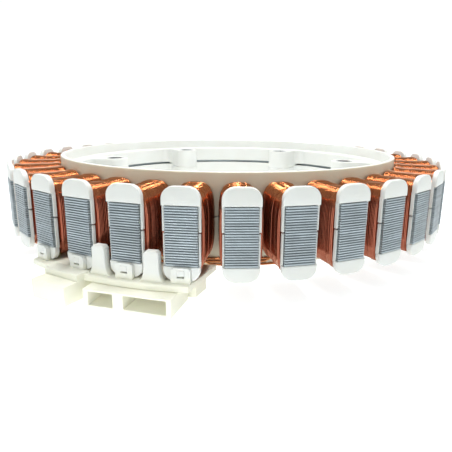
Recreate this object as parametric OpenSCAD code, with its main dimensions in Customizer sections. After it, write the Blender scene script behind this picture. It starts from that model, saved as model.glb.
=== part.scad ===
// Stator of a direct-drive washing machine motor: a ring of laminated steel with wound teeth that
// point outwards, held between two moulded insulators, with a sensor base clipped under four teeth.
// Origin on the stator's axis at the seat plane of its bolt lugs, +Z up, tooth number 0 towards -Y.

/* [Core] */
// Number of wound teeth
teeth = 36; // [24:3:36]
// Diameter over the tooth tips
outer_d = 265; // [262:0.5:275]
// Height of the stack of laminations
stack_h = 23.7; // [20:0.1:30]
// Radial length of a tooth, from the yoke ring to its tip
tooth_l = 28.8; // [26:0.1:34]
// Radial width of the yoke ring
yoke_w = 7; // [5:0.5:8]
// Width of the slot between two steel teeth at the yoke ring
slot_w = 10.1; // [9:0.1:11]
// Radial thickness of the shoe
shoe_t = 1.8; // [1.5:0.1:2.6]
// Bevel on the shoe's outer corners
shoe_bevel = 0.3; // [0.2:0.1:0.6]
// Height of the stack above the seat plane
stack_z = 16.8; // [16:0.1:24]

/* [Insulators] */
// Clearance between a steel tooth and the mouldings
core_clear = 0.1; // [0.05:0.01:0.2]
// Clearance between the yoke ring and the mouldings
yoke_clear = 0.3; // [0.2:0.05:0.5]
// Wall of the liner beside and over a tooth
liner_t = 1.1; // [0.8:0.1:1.4]
// Opening between neighbouring tips
slot_gap = 7.9; // [7.2:0.1:9]
// Width of the strips beside a shoe
strip_w = 1; // [0.6:0.1:1.4]
// Height of the upper tips above the stack
tip_up = 7.5; // [6.5:0.1:9]
// Depth of the lower tips below the stack
tip_down = 6.2; // [6:0.1:7]
// Corner radius of the upper tips
tip_up_r = 5; // [3:0.1:7]
// Corner radius of the lower tips
tip_down_r = 4.8; // [2:0.1:5.6]
// Thickness of the flange behind the shoe
flange_t = 0.8; // [0.6:0.1:1.4]
// How far the tips' faces stand back from the steel
tip_back = 0.2; // [0:0.1:0.6]
// How far the strips beside the shoe stand back from the tips' faces
strip_back = 1.2; // [0.5:0.1:1.4]
// Height of the parting line between the two mouldings above the stack's bottom
split_h = 13.2; // [8:0.1:15]
// Parting gap on the liners and tips
split_gap = 0.6; // [0.3:0.1:1.2]
// Parting gap on the outer wall of the hub
hub_gap = 0.3; // [0.1:0.05:0.5]
// Height of the parting line on the inner wall above that of the outer one
inner_step = 0.8; // [0.5:0.1:1.5]
// Parting gap on the inner wall of the hub
inner_gap = 1.3; // [0.6:0.1:2]
// Outer wall of the hub
hub_wall = 1; // [0.8:0.1:1.6]
// Inner wall of the hub
inner_wall = 1.5; // [1.2:0.1:2.5]
// Thickness of the decks over and under the yoke
deck_t = 2.7; // [2:0.1:4]
// Height of the rim above the upper deck
rim_h = 6.6; // [4:0.1:8]
// Thickness of the rim and of the skirt
rim_t = 2.5; // [1.6:0.1:4]
// Depth of the skirt below the lower deck
skirt_h = 7; // [6.8:0.1:9]

/* [Lugs] */
// Number of bolt lugs
lugs = 6; // [4:1:8]
// Radial length of a lug, from the hub's inner wall to its bolt
lug_l = 17.2; // [13:0.1:20]
// Bore of the bolt sleeves
bolt_d = 8.4; // [6.5:0.1:9]
// Wall of the bolt sleeves
sleeve_t = 1.3; // [1:0.1:2]
// Clearance around the bolt sleeves
sleeve_clear = 0.1; // [0.05:0.01:0.2]
// Radius of the boss around a sleeve
boss_r = 8.5; // [8:0.1:10]
// Step between a boss and its foot
foot_step = 0.5; // [0.3:0.1:1]
// Height of the lugs above the upper deck
lug_rise = 0.4; // [0.2:0.1:1.5]
// Width of a lug where it meets the hub
lug_root_w = 18; // [17.5:0.5:30]
// Angle of the first lug from tooth number 0
lug_angle = 25; // [0:1:60]
// Thickness of the ribs under a lug
rib_t = 2.4; // [1.6:0.1:3.5]
// Height of the ribs' lower edge above the seat plane
rib_z = 6; // [2:0.5:10]

/* [Coils] */
// Gap between neighbouring windings at the hub
coil_gap = 1.45; // [0.8:0.05:2.5]
// Thickness of the winding over and under a tooth, at its bands of outer turns
winding_h = 3.9; // [3:0.1:4.1]
// Corner radius of the winding
winding_r = 6; // [3:0.1:7]
// Height of the bands of outer turns above the rest of the winding
band_h = 0.7; // [0.4:0.05:0.9]
// Width of each band of outer turns
band_w = 3.7; // [2:0.1:5]
// Distance of the bands from the ends of the winding
band_inset = 0.5; // [0.2:0.1:1]
// Clearance between the winding and the mouldings
coil_clear = 0.2; // [0.1:0.05:0.3]
// Diameter of the crossover wires
wire_d = 1; // [0.7:0.05:1.2]
// Height between the crossover wires
wire_pitch = 1.4; // [1.3:0.05:1.6]
// Number of crossover wires
wires = 3; // [1:1:3]

/* [Sensor base] */
// Width of the base
base_w = 77.4; // [72:0.2:84]
// Radial depth of the base plate
base_depth = 24.3; // [22:0.1:27]
// How far the plate reaches beyond the tooth tips
base_reach = 3.8; // [3.4:0.1:6]
// Thickness of the base plate
plate_t = 2.8; // [2:0.1:3.2]
// Height of the base's underside above the seat plane
base_lift = 0.4; // [0:0.1:1.2]
// How far the body under the plate stands in from its ends
body_inset = 3; // [1:0.5:6]
// Width of a sensor post
post_w = 6.2; // [5:0.1:6.4]
// Height of a sensor post above the plate
post_h = 12.1; // [10:0.1:14]
// Radial thickness of a sensor post
post_t = 3.4; // [2.5:0.1:4]
// Radius of the fillets at the foot of a post
post_fillet = 2.4; // [1:0.1:3]
// Chamfer at the top of a post
post_chamfer = 1; // [0.3:0.1:1.8]
// How far a post reaches beyond the tooth tips
post_reach = 1.6; // [0.8:0.1:3]
// Width of a clip tab
tab_w = 7.6; // [6.5:0.1:8.5]
// Height of a clip tab above the plate
tab_h = 6.3; // [5.8:0.1:7]
// Thickness of a clip tab
tab_t = 1.8; // [1.2:0.1:2.4]
// Clearance between a clip tab and the tip behind it
tab_clear = 0.2; // [0.1:0.05:0.4]
// Width of the window in a clip tab
window_w = 3; // [2:0.1:4]
// Height of the window in a clip tab
window_h = 3; // [2:0.1:3.4]
// Height of the window above the plate
window_z = 2.2; // [1.6:0.1:2.6]
// Gap under the catch in a clip tab's window
catch_gap = 0.7; // [0.4:0.1:1.2]

/* [Connectors] */
// Turn of the connector housing from the middle of the base
connector_turn = 7; // [6.5:0.1:8]
// Width of the connector housing
connector_w = 37; // [35:0.5:38]
// How far the connector housing reaches beyond the base plate
connector_reach = 5.2; // [3:0.1:7]
// Radial depth of the connector housing
connector_depth = 17; // [15.5:0.1:19]
// Depth of the sockets
socket_depth = 12; // [11:0.1:13]
// Wall over and under the sockets
socket_wall = 0.9; // [0.7:0.1:1.2]
// Width of the power socket
power_w = 17.5; // [16.5:0.1:18]
// Width of the sensor socket
signal_w = 10.5; // [9:0.1:11]
// Wall between the two sockets
socket_gap = 4.5; // [3:0.1:5]
// Length of the contacts in the sockets
contact_l = 5; // [3:0.1:5.5]
// Number of power contacts
power_contacts = 3; // [2:1:4]
// Number of sensor contacts
signal_contacts = 5; // [3:1:5]
// Width of a power contact
blade_w = 2.8; // [2:0.1:3]
// Thickness of a power contact
blade_t = 0.8; // [0.5:0.1:1.2]
// Side of a sensor contact
pin_w = 0.64; // [0.5:0.02:1]

/* [Lead ledge] */
// Gap between the ledge and the connector housing
ledge_gap = 0.8; // [0.5:0.1:2]
// Width of the ledge
ledge_w = 19; // [16:0.5:20]
// How far the ledge reaches beyond the base plate
ledge_reach = 9.7; // [7:0.1:12]
// How far the ledge lies below the top of the plate
ledge_drop = 2; // [1:0.1:2.6]
// Radial depth of the pad on the ledge
pad_depth = 6.4; // [4:0.1:8]
// Height of the pad above the plate
pad_h = 0.7; // [0.3:0.1:1.5]

/* [Hidden] */
$fn = 64;
EPS = 0.5;
FAR = 2 * outer_d;

pitch = 360 / teeth;
outer_r = outer_d / 2;
stack_top = stack_z + stack_h;
split_z = stack_z + split_h;
inner_split = split_z + inner_step;

yoke_r = outer_r - tooth_l;
yoke_in_r = yoke_r - yoke_w;
tooth_w = 2 * yoke_r * sin(pitch / 2) - slot_w;
tip_w = 2 * outer_r * sin(pitch / 2) - slot_gap;
shoe_w = tip_w - 2 * (strip_w + core_clear);
shoe_face = sqrt(pow(outer_r, 2) - pow(shoe_w / 2 - shoe_bevel, 2));
shoe_back = shoe_face - shoe_t;

hub_r = yoke_r + yoke_clear + hub_wall;
hub_in_r = yoke_in_r - yoke_clear - inner_wall;
deck_top = stack_top + deck_t;
deck_bottom = stack_z - deck_t;
rim_top = deck_top + rim_h;
skirt_bottom = deck_bottom - skirt_h;
tip_face = shoe_face - tip_back;
tip_in = shoe_back - core_clear - flange_t;
liner_in = hub_r - hub_wall / 2;
liner_w = tooth_w + 2 * (core_clear + liner_t);
liner_top = stack_top + liner_t;
liner_bottom = stack_z - liner_t;
tip_top = stack_top + tip_up;
tip_bottom = stack_z - tip_down;

bolt_r = hub_in_r - lug_l;
lug_out_r = hub_in_r + inner_wall / 2;
lug_top = deck_top + lug_rise;
sleeve_r = bolt_d / 2 + sleeve_t;
sleeve_hole_r = sleeve_r + sleeve_clear;

coil_in = hub_r + coil_clear;
coil_out = tip_in - coil_clear;
coil_hole_w = liner_w + 2 * coil_clear;
coil_hole_bottom = liner_bottom - coil_clear;
coil_hole_top = liner_top + coil_clear;
coil_w = 2 * coil_in * sin(pitch / 2) - coil_gap;
coil_bottom = coil_hole_bottom - winding_h;
coil_top = coil_hole_top + winding_h;
wire_r = hub_r + coil_clear + wire_d / 2;
wire_top = coil_bottom - coil_clear - wire_d / 2;

// The sensor base spans the four teeth before tooth 0, with a post in each of two slots.
base_teeth = [-4, -3, -2, -1];
post_slots = [-2.5, -1.5];
base_dir = -2.5 * pitch;
plate_top = tip_bottom;
plate_bottom = plate_top - plate_t;
base_out_r = outer_r + base_reach;
base_in_r = base_out_r - base_depth;
tab_in = tip_face + tab_clear;
window_bottom = plate_top + window_z;
post_out = outer_r + post_reach;

connector_dir = base_dir + connector_turn;
connector_face = base_out_r + connector_reach;
connector_back = connector_face - connector_depth;
socket_back = connector_face - socket_depth;
socket_bottom = base_lift + socket_wall;
socket_h = plate_bottom - socket_wall - socket_bottom;
socket_mid_z = socket_bottom + socket_h / 2;
sockets_w = signal_w + socket_gap + power_w;
signal_mid = -sockets_w / 2 + signal_w / 2;
power_mid = sockets_w / 2 - power_w / 2;
body_out_r = connector_back - EPS;

ledge_dir = connector_dir - asin(((connector_w + ledge_w) / 2 + ledge_gap) / connector_back);
ledge_face = base_out_r + ledge_reach;
ledge_top = plate_top - ledge_drop;
pad_in = tab_in + tab_t / 2;

function two_digits(i) = str(i < 10 ? "0" : "", i);
function coil_name(i) = str("coil_", two_digits(i));

// Turns a shape drawn along +X to an angle from tooth 0, counted to the right as seen from outside.
module towards(angle) {
    rotate([0, 0, angle - 90]) children();
}

// Repeats a shape at every tooth.
module each_tooth() {
    for (k = [0:teeth - 1]) towards(k * pitch) children();
}

// Repeats a shape at every bolt lug.
module each_lug() {
    for (k = [0:lugs - 1]) towards(lug_angle + k * 360 / lugs) children();
}

// Stands a drawing of width and height up across the radius, from one radius to another.
module across(from, to) {
    translate([from, 0, 0]) rotate([90, 0, 90]) linear_extrude(to - from) children();
}

// A block along the radius, centred on it.
module block(from, to, width, bottom, top) {
    translate([from, -width / 2, bottom]) cube([to - from, width, top - bottom]);
}

// A rectangle from bottom to top, rounded at its upper corners.
module arch(width, bottom, top, r) {
    translate([-width / 2, bottom]) square([width, top - r - bottom]);
    translate([-width / 2 + r, bottom]) square([width - 2 * r, top - bottom]);
    for (side = [-1, 1]) translate([side * (width / 2 - r), top - r]) circle(r);
}

// A rectangle rounded at all its corners.
module rounded(width, bottom, top, r) {
    translate([-width / 2, bottom + r]) square([width, top - bottom - 2 * r]);
    translate([-width / 2 + r, bottom]) square([width - 2 * r, top - bottom]);
    for (side = [-1, 1], z = [bottom + r, top - r]) translate([side * (width / 2 - r), z]) circle(r);
}

// Outline of one tooth with its shoe, grown by a clearance.
module tooth_outline(gap) {
    half = tooth_w / 2 + gap;
    edge = shoe_w / 2 + gap;
    polygon([
        [yoke_r - yoke_w / 2, -half], [shoe_back - gap, -half], [shoe_back - gap, -edge],
        [shoe_face - shoe_bevel, -edge], [shoe_face, shoe_bevel - edge],
        [shoe_face, edge - shoe_bevel], [shoe_face - shoe_bevel, edge],
        [shoe_back - gap, edge], [shoe_back - gap, half], [yoke_r - yoke_w / 2, half]
    ]);
}

module lamination_core() {
    color("slategray") translate([0, 0, stack_z]) linear_extrude(stack_h) difference() {
        union() {
            circle(yoke_r, $fn = 360);
            each_tooth() tooth_outline(0);
        }
        circle(yoke_in_r, $fn = 360);
    }
}

// The room that one steel tooth takes inside the mouldings.
module tooth_room() {
    translate([0, 0, stack_z - core_clear]) linear_extrude(stack_h + 2 * core_clear)
        tooth_outline(core_clear);
}

// Cuts the strips beside a shoe back from the face of the tip.
module strip_cut() {
    block(tip_face - strip_back, outer_d, outer_d, stack_z, stack_top);
}

// Plan of a bolt lug, from its boss out to the inner wall of the hub.
module lug_outline() {
    intersection() {
        union() {
            translate([bolt_r, 0]) circle(boss_r);
            polygon([
                [bolt_r, -boss_r], [yoke_in_r, -lug_root_w / 2],
                [yoke_in_r, lug_root_w / 2], [bolt_r, boss_r]
            ]);
        }
        circle(lug_out_r, $fn = 360);
    }
}

// Plan of a boss and the two ribs that carry it from the hub.
module rib_outline() {
    translate([bolt_r, 0]) circle(boss_r);
    difference() {
        lug_outline();
        polygon([
            [bolt_r, rib_t - boss_r], [yoke_in_r, rib_t - lug_root_w / 2],
            [yoke_in_r, lug_root_w / 2 - rib_t], [bolt_r, boss_r - rib_t]
        ]);
    }
}

module sleeve_holes() {
    each_lug() translate([bolt_r, 0, -EPS]) cylinder(r = sleeve_hole_r, h = lug_top + 2 * EPS);
}

// Section of the upper moulding's hub: outer wall, deck, rim and inner wall.
module upper_hub_section() {
    polygon([
        [hub_in_r, inner_split + inner_gap], [yoke_in_r - yoke_clear, inner_split + inner_gap],
        [yoke_in_r - yoke_clear, stack_top], [yoke_r + yoke_clear, stack_top],
        [yoke_r + yoke_clear, split_z + hub_gap / 2], [hub_r, split_z + hub_gap / 2],
        [hub_r, rim_top], [hub_r - rim_t, rim_top], [hub_r - rim_t, deck_top], [hub_in_r, deck_top]
    ]);
}

// Upper half of the liner and tip around one tooth.
module upper_cover() {
    bottom = split_z + split_gap / 2;
    difference() {
        union() {
            block(liner_in, tip_in + flange_t / 2, liner_w, bottom, liner_top);
            across(tip_in, tip_face) arch(tip_w, bottom, tip_top, tip_up_r);
        }
        strip_cut();
    }
}

module upper_insulator() {
    color("ivory") difference() {
        union() {
            rotate_extrude($fn = 360) upper_hub_section();
            each_lug() translate([0, 0, split_z]) linear_extrude(lug_top - split_z) lug_outline();
            each_tooth() upper_cover();
        }
        each_tooth() tooth_room();
        sleeve_holes();
    }
}

// The catch on a lower tip that snaps into a clip tab's window.
module catch() {
    block(tip_face - EPS, tab_in + tab_t, window_w - 2 * tab_clear,
          window_bottom + catch_gap, window_bottom + window_h - tab_clear);
}

// Section of the lower moulding's hub: outer wall, deck, skirt and inner wall.
module lower_hub_section() {
    polygon([
        [hub_in_r, deck_bottom], [hub_r - rim_t, deck_bottom], [hub_r - rim_t, skirt_bottom],
        [hub_r, skirt_bottom], [hub_r, split_z - hub_gap / 2],
        [yoke_r + yoke_clear, split_z - hub_gap / 2], [yoke_r + yoke_clear, stack_z],
        [yoke_in_r - yoke_clear, stack_z], [yoke_in_r - yoke_clear, inner_split],
        [hub_in_r, inner_split]
    ]);
}

// Lower half of the liner and tip around one tooth.
module lower_cover() {
    top = split_z - split_gap / 2;
    difference() {
        union() {
            block(liner_in, tip_in + flange_t / 2, liner_w, liner_bottom, top);
            mirror([0, 0, 1]) across(tip_in, tip_face) arch(tip_w, -top, -tip_bottom, tip_down_r);
        }
        strip_cut();
    }
}

module lower_insulator() {
    color("ivory") difference() {
        union() {
            rotate_extrude($fn = 360) lower_hub_section();
            each_lug() {
                translate([bolt_r, 0, 0]) cylinder(r = boss_r - foot_step, h = rib_z + EPS);
                translate([0, 0, rib_z]) linear_extrude(split_z - rib_z) rib_outline();
            }
            each_tooth() lower_cover();
            for (k = base_teeth) towards(k * pitch) catch();
        }
        each_tooth() tooth_room();
        sleeve_holes();
    }
}

module bolt_sleeves() {
    color("silver") each_lug() translate([bolt_r, 0, 0]) difference() {
        cylinder(r = sleeve_r, h = lug_top);
        translate([0, 0, -EPS]) cylinder(r = bolt_d / 2, h = lug_top + 2 * EPS);
    }
}

// A band of turns laid over the rest of a winding, from one radius outwards.
module outer_turns(from) {
    across(from, from + band_w) rounded(coil_w, coil_bottom, coil_top, winding_r);
}

module coil(i) {
    color("chocolate") towards((i - 1) * pitch) difference() {
        union() {
            across(coil_in, coil_out) rounded(
                coil_w - 2 * band_h, coil_bottom + band_h, coil_top - band_h, winding_r - band_h);
            outer_turns(coil_in + band_inset);
            outer_turns(coil_out - band_inset - band_w);
        }
        block(coil_in - EPS, coil_out + EPS, coil_hole_w, coil_hole_bottom, coil_hole_top);
    }
}

module crossover_wires() {
    color("peru") for (row = [0:wires - 1])
        rotate_extrude($fn = 360) translate([wire_r, wire_top - row * wire_pitch]) circle(d = wire_d);
}

// Plan of the base plate, or of the body under it when it is drawn in.
module base_outline(inner, outer, width) {
    intersection() {
        difference() {
            circle(outer, $fn = 360);
            circle(inner, $fn = 360);
        }
        translate([0, -width / 2]) square([FAR, width]);
    }
}

// Front of a sensor post rooted in the plate, with a chamfered top and fillets at its foot.
module post_front() {
    half = post_w / 2;
    polygon([
        [-half, -EPS], [half, -EPS], [half, post_h - post_chamfer], [half - post_chamfer, post_h],
        [post_chamfer - half, post_h], [-half, post_h - post_chamfer]
    ]);
    foot_half = half + post_fillet;
    difference() {
        translate([-foot_half, -EPS]) square([2 * foot_half, post_fillet + EPS]);
        for (side = [-1, 1]) translate([side * foot_half, post_fillet]) circle(post_fillet);
    }
}

// Front of a clip tab rooted in the plate, with its window.
module tab_front() {
    difference() {
        arch(tab_w, -EPS, tab_h, (tab_w - window_w) / 3);
        translate([-window_w / 2, window_z]) square([window_w, window_h]);
    }
}

module sensor_base() {
    color("oldlace") union() {
        towards(base_dir) {
            translate([0, 0, plate_bottom]) linear_extrude(plate_t)
                base_outline(base_in_r, base_out_r, base_w);
            translate([0, 0, base_lift]) linear_extrude(plate_bottom - base_lift)
                base_outline(base_in_r + body_inset, body_out_r, base_w - 2 * body_inset);
        }
        towards(ledge_dir) {
            block(body_out_r - EPS, ledge_face, ledge_w, base_lift, ledge_top);
            block(pad_in, pad_in + pad_depth, ledge_w, ledge_top, plate_top + pad_h);
        }
        for (slot = post_slots) towards(slot * pitch)
            translate([0, 0, plate_top]) across(post_out - post_t, post_out) post_front();
        for (k = base_teeth) towards(k * pitch)
            translate([0, 0, plate_top]) across(tab_in, tab_in + tab_t) tab_front();
    }
}

// A socket open towards the outside, centred on a line beside the housing's middle.
module socket(mid, width) {
    translate([0, mid, 0])
        block(socket_back, connector_face + EPS, width, socket_bottom, socket_bottom + socket_h);
}

module connector_housing() {
    color("whitesmoke") towards(connector_dir) difference() {
        block(connector_back, connector_face, connector_w, base_lift, plate_bottom);
        socket(signal_mid, signal_w);
        socket(power_mid, power_w);
    }
}

// A row of contacts that stand on the back wall of a socket.
module contacts(count, mid, width, contact_w, contact_t) {
    step = width / count;
    for (i = [0:count - 1]) translate([0, mid + (i - (count - 1) / 2) * step, 0])
        block(socket_back, socket_back + contact_l, contact_w,
              socket_mid_z - contact_t / 2, socket_mid_z + contact_t / 2);
}

module power_contacts() {
    color("gainsboro") towards(connector_dir)
        contacts(power_contacts, power_mid, power_w, blade_w, blade_t);
}

module sensor_contacts() {
    color("gainsboro") towards(connector_dir)
        contacts(signal_contacts, signal_mid, signal_w, pin_w, pin_w);
}

lamination_core();
upper_insulator();
lower_insulator();
bolt_sleeves();
crossover_wires();
sensor_base();
connector_housing();
power_contacts();
sensor_contacts();
for (i = [1:teeth]) coil(i);
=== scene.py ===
"""Looks of a washing machine motor stator: wound copper coils, stacked steel sheets and moulded plastic,
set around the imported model, with a pale studio stage and a camera at the photograph's angle."""

import math
import random

import bpy
from mathutils import Matrix, Vector


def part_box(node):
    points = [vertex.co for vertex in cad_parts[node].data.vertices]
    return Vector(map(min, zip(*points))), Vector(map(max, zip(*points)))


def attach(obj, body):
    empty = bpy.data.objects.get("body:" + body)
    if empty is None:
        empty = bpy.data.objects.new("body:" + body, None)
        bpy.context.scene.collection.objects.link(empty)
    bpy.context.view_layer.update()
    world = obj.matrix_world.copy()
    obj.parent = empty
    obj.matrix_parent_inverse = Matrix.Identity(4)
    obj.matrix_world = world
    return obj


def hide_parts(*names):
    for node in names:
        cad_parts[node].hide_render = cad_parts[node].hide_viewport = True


bl_info = {
    "name": "Motor Stator",
    "version": (1, 0, 0),
    "blender": (4, 5, 0),
    "location": "View3D > Sidebar > Stator",
    "description": "Models the windings, steel sheets and mouldings of a washing machine motor stator",
    "category": "Object",
}

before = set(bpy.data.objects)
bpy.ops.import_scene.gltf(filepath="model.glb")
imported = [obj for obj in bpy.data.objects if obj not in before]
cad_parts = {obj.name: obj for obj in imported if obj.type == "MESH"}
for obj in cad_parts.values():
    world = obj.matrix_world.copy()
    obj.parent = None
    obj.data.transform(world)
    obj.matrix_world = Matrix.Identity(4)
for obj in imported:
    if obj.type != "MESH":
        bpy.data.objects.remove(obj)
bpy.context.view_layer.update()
COILS = sorted(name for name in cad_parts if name.startswith("coil_"))
MM = 0.001

# Levels and radii that come from the frame, in metres
CORE_LOW, CORE_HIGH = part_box("lamination_core")
COIL_LOW, COIL_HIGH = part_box("coil_01")
WIRES_LOW, WIRES_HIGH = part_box("crossover_wires")
CONNECTOR_LOW, CONNECTOR_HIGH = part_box("connector_housing")
RIM_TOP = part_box("upper_insulator")[1].z
LUG_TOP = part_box("bolt_sleeves")[1].z
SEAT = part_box("lower_insulator")[0].z

TEETH = len(COILS)
PITCH = 2 * math.pi / TEETH
FACE = CORE_HIGH.y
STACK_BOTTOM = CORE_LOW.z
STACK_TOP = CORE_HIGH.z
COIL_IN = -COIL_HIGH.y
COIL_OUT = -COIL_LOW.y
COIL_HALF = COIL_HIGH.x
COIL_BOTTOM = COIL_LOW.z
COIL_TOP = COIL_HIGH.z

# General values: up, the angle at which outwards is +X, and the distance at which points merge
UP = Vector((0, 0, 1))
ALONG_X = math.pi / 2
MERGE = 1e-6

# Sizes of the steel core; a sheet's gap and burr are shares of its pitch
YOKE_OUT = COIL_IN - 1.5 * MM
YOKE_IN = YOKE_OUT - 7 * MM
BORE_STEPS = 144
TOOTH_HALF = 4 * MM
SHOE_HALF = 6.5 * MM
SHOE_DEPTH = 1.8 * MM
SHOE_BEVEL = 0.3 * MM
SHEET_GAP = 0.2
SHEET_BURR = 0.16

# Sizes of the two mouldings
HUB_R = COIL_IN - 0.2 * MM
HUB_IN = YOKE_IN - 1.8 * MM
HUB_ROUND = 0.6 * MM
HUB_STEPS = 216
BORE_SEAT = YOKE_IN - 0.3 * MM
YOKE_SEAT = YOKE_OUT + 0.3 * MM
RIM_T = 2.5 * MM
DECK_T = 2.7 * MM
CLEAR = 0.1 * MM
LINER_T = 1.1 * MM
LINER_IN = HUB_R - 0.4 * MM
LINER_HALF = TOOTH_HALF + CLEAR + LINER_T
LINER_EDGE = 0.15 * MM
LID_EDGE = 0.2 * MM
TIP_HALF = 7.6 * MM
LOWER_TIP_HALF = TIP_HALF - 0.3 * MM
TIP_TOP = STACK_TOP + 7.5 * MM
TIP_BOTTOM = STACK_BOTTOM - 6.2 * MM
TIP_TOP_R = 5 * MM
TIP_BOTTOM_R = 4.8 * MM
TIP_STEPS = 10
TIP_FACE = FACE - 0.2 * MM
TIP_IN = FACE - SHOE_DEPTH - 0.9 * MM
STRIP_HALF = TIP_HALF - 0.1 * MM
STRIP_FACE = TIP_FACE - 1.2 * MM
SPLIT = STACK_BOTTOM + 13.2 * MM
SPLIT_GAP = 0.6 * MM
INNER_SPLIT = SPLIT + 0.8 * MM
INNER_GAP = 1.7 * MM
SKIRT_BOTTOM = STACK_BOTTOM - DECK_T - 7 * MM
# Radii of the painted warm shade on the hub's outside, which fades out over the liner walls beside it
HUB_SHADE_IN = HUB_R - 0.3 * MM
HUB_SHADE_OUT = HUB_R + 4 * MM

# Sizes of the windings; the packing's inset and a loose turn's drift are in wire diameters
SQUARENESS = 4.0
TURN_STEPS = 36
CROWN = 0.75 * MM
BAND_H = 0.7 * MM
BAND_W = 3.7 * MM
BAND_INSET = 0.5 * MM
BAND_RISE = 0.3 * MM
PROUD = 0.45 * MM
TURN_JITTER = 0.03 * MM
BAND_JITTER = 0.04 * MM
LOOSE_JITTER = 0.1 * MM
LOOSE_DRIFT = (1, 4)
PACKING_R = 6 * MM
PACKING_INSET = 0.4
PACKING_CLEAR = 0.2 * MM
WIRE_SMOOTH = 75
# Heights on the coils: painted shade in a deeper red below the first, fading out up to the second
PAINTED_SHADE_LOW = COIL_TOP - 7 * MM
PAINTED_SHADE_HIGH = COIL_TOP - 1.5 * MM
COIL_SEED = 100

# Sizes of the crossover wires; margins are shares of a pitch, bends of a run and flares of the wire
CROSSOVER_ROWS = 3
CROSSOVER_STEPS = 24
CROSSOVER_MARGIN = 0.12
CROSSOVER_BEND = 0.06
CROSSOVER_FLARE = 0.9
CROSSOVER_SWAY = 0.06 * MM
CROSSOVER_SEED = 7

# Sizes of the bolt lugs
LUGS = 6
LUG_ANGLE = math.radians(25)
BOLT_R = 77.7 * MM
BOSS_R = 8.5 * MM
FOOT_R = BOSS_R - 0.5 * MM
LUG_ROOT_HALF = 9 * MM
LUG_SINK = 0.7 * MM
SLEEVE_HOLE = 5.6 * MM
HOLE_STEPS = 32
RIB_T = 2.4 * MM
RIB_BOTTOM = 6 * MM
RIB_EDGE = 0.3 * MM
CORNER_R = 6 * MM
CORNER_SIDE = LUG_ROOT_HALF - 0.1 * MM
CORNER_SINK = 0.5 * MM

# Sizes of the sensor base
BASE_TEETH = (-4, -3, -2, -1)
POST_SLOTS = (-2.5, -1.5)
BASE_ANGLE = -2.5 * PITCH
PLATE_TOP = TIP_BOTTOM
PLATE_BOTTOM = CONNECTOR_HIGH.z
BASE_BOTTOM = CONNECTOR_LOW.z
BASE_HALF = 38.7 * MM
BASE_OUT = 136.3 * MM
BASE_IN = 112 * MM
BASE_SINK = 0.5 * MM
BODY_INSET = 3 * MM
BODY_OUT = 124 * MM
BODY_EDGE = 0.3 * MM
POST_HALF = 3.1 * MM
POST_H = 12.1 * MM
POST_OUT = 134.1 * MM
POST_T = 3.4 * MM
POST_CHAMFER = 1 * MM
POST_EDGE = 0.3 * MM
POST_FLARE = 2.2 * MM
POST_FLARE_H = 6.5 * MM
TAB_HALF = 3.8 * MM
TAB_H = 6.3 * MM
TAB_T = 1.8 * MM
TAB_R = 1.5 * MM
TAB_EDGE = 0.1 * MM
TAB_IN = TIP_FACE + 0.2 * MM
WINDOW_HALF = 1.5 * MM
WINDOW_Z = 2.2 * MM
WINDOW_H = 3 * MM
CATCH_GAP = 0.7 * MM
CATCH_CLEAR = 0.05 * MM
LEDGE_ANGLE = math.radians(-31.4)
LEDGE_HALF = 9.5 * MM
LEDGE_OUT = 146 * MM
LEDGE_TOP = PLATE_TOP - 2 * MM
PAD_IN = TAB_IN + TAB_T / 2
PAD_DEPTH = 6.4 * MM
PAD_TOP = PLATE_TOP + 0.7 * MM
# Top of the warmer tone at the foot of the base, which is painted warm light on the plate
FOOT_PAINTED_LIGHT_TOP = PLATE_TOP + 3.5 * MM

# Sizes of the connector housing
CONNECTOR_ANGLE = BASE_ANGLE + math.radians(7)
CONNECTOR_HALF = 18.5 * MM
CONNECTOR_FACE = 141.5 * MM
CONNECTOR_DEPTH = 17 * MM
CONNECTOR_EDGE = 0.25 * MM
SOCKET_DEPTH = 12 * MM
SOCKET_WALL = 0.9 * MM
POWER_MID = 7.5 * MM
POWER_HALF = 8.75 * MM
SIGNAL_MID = -11 * MM
SIGNAL_HALF = 5.25 * MM

# The floor, the room's shades by direction and the overhead tubes, in metres and watts
FLOOR_SIZE = 8
ROOM_FRONT = (0.48, 0.58, 0.60)
ROOM_BACK = (1.03, 1.03, 1.03)
ROOM_BACK_FROM = 0.4
ROOM_DOME = (0.34, 0.36, 0.38)
ROOM_DOME_FROM = 0.24
ROOM_DOME_FULL = 0.42
TUBES = {"tube_left": -0.24, "tube_middle": 0.04, "tube_right": 0.24}
TUBE_Y = 0.1
TUBE_Z = 0.7
TUBE_SIZE = (0.014, 0.5)
TUBE_POWER = 1.2
TUBE_COLOUR = (1.0, 0.99, 0.97)

# The photograph's camera, measured about the stator's axis
CAMERA_LENS = 32.92
CAMERA_SENSOR = 36.0
CAMERA_DISTANCE = 280.66 * MM
CAMERA_HEIGHT = STACK_BOTTOM + 58.02 * MM
CAMERA_ROUND = math.radians(-2.23)
CAMERA_YAW = math.radians(1.1)
CAMERA_PITCH = math.radians(12.64)
CAMERA_ROLL = math.radians(0.62)
CAMERA_SHIFT = (-0.0225, -0.0465)
CAMERA_CLIP = (0.01, 20)


class StatorSizes(bpy.types.PropertyGroup):
    """Sizes that can be changed without leaving the frame."""

    sheets: bpy.props.IntProperty(
        name="Steel sheets",
        description="Sheets in the stack of laminations",
        default=23,
        min=2,
        max=60,
    )
    wire: bpy.props.FloatProperty(
        name="Wire",
        description="Diameter of the enamelled wire",
        default=0.92 * MM,
        unit="LENGTH",
    )
    crossover: bpy.props.FloatProperty(
        name="Crossover wire",
        description="Diameter of the wires between coils",
        default=1.0 * MM,
        unit="LENGTH",
    )
    edge: bpy.props.FloatProperty(
        name="Moulded edge",
        description="Rounding of the moulded edges",
        default=0.45 * MM,
        unit="LENGTH",
    )
    loose_turns: bpy.props.IntProperty(
        name="Loose turns",
        description="Most stray turns across the top of a winding",
        default=1,
        min=0,
        max=8,
    )


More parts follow.
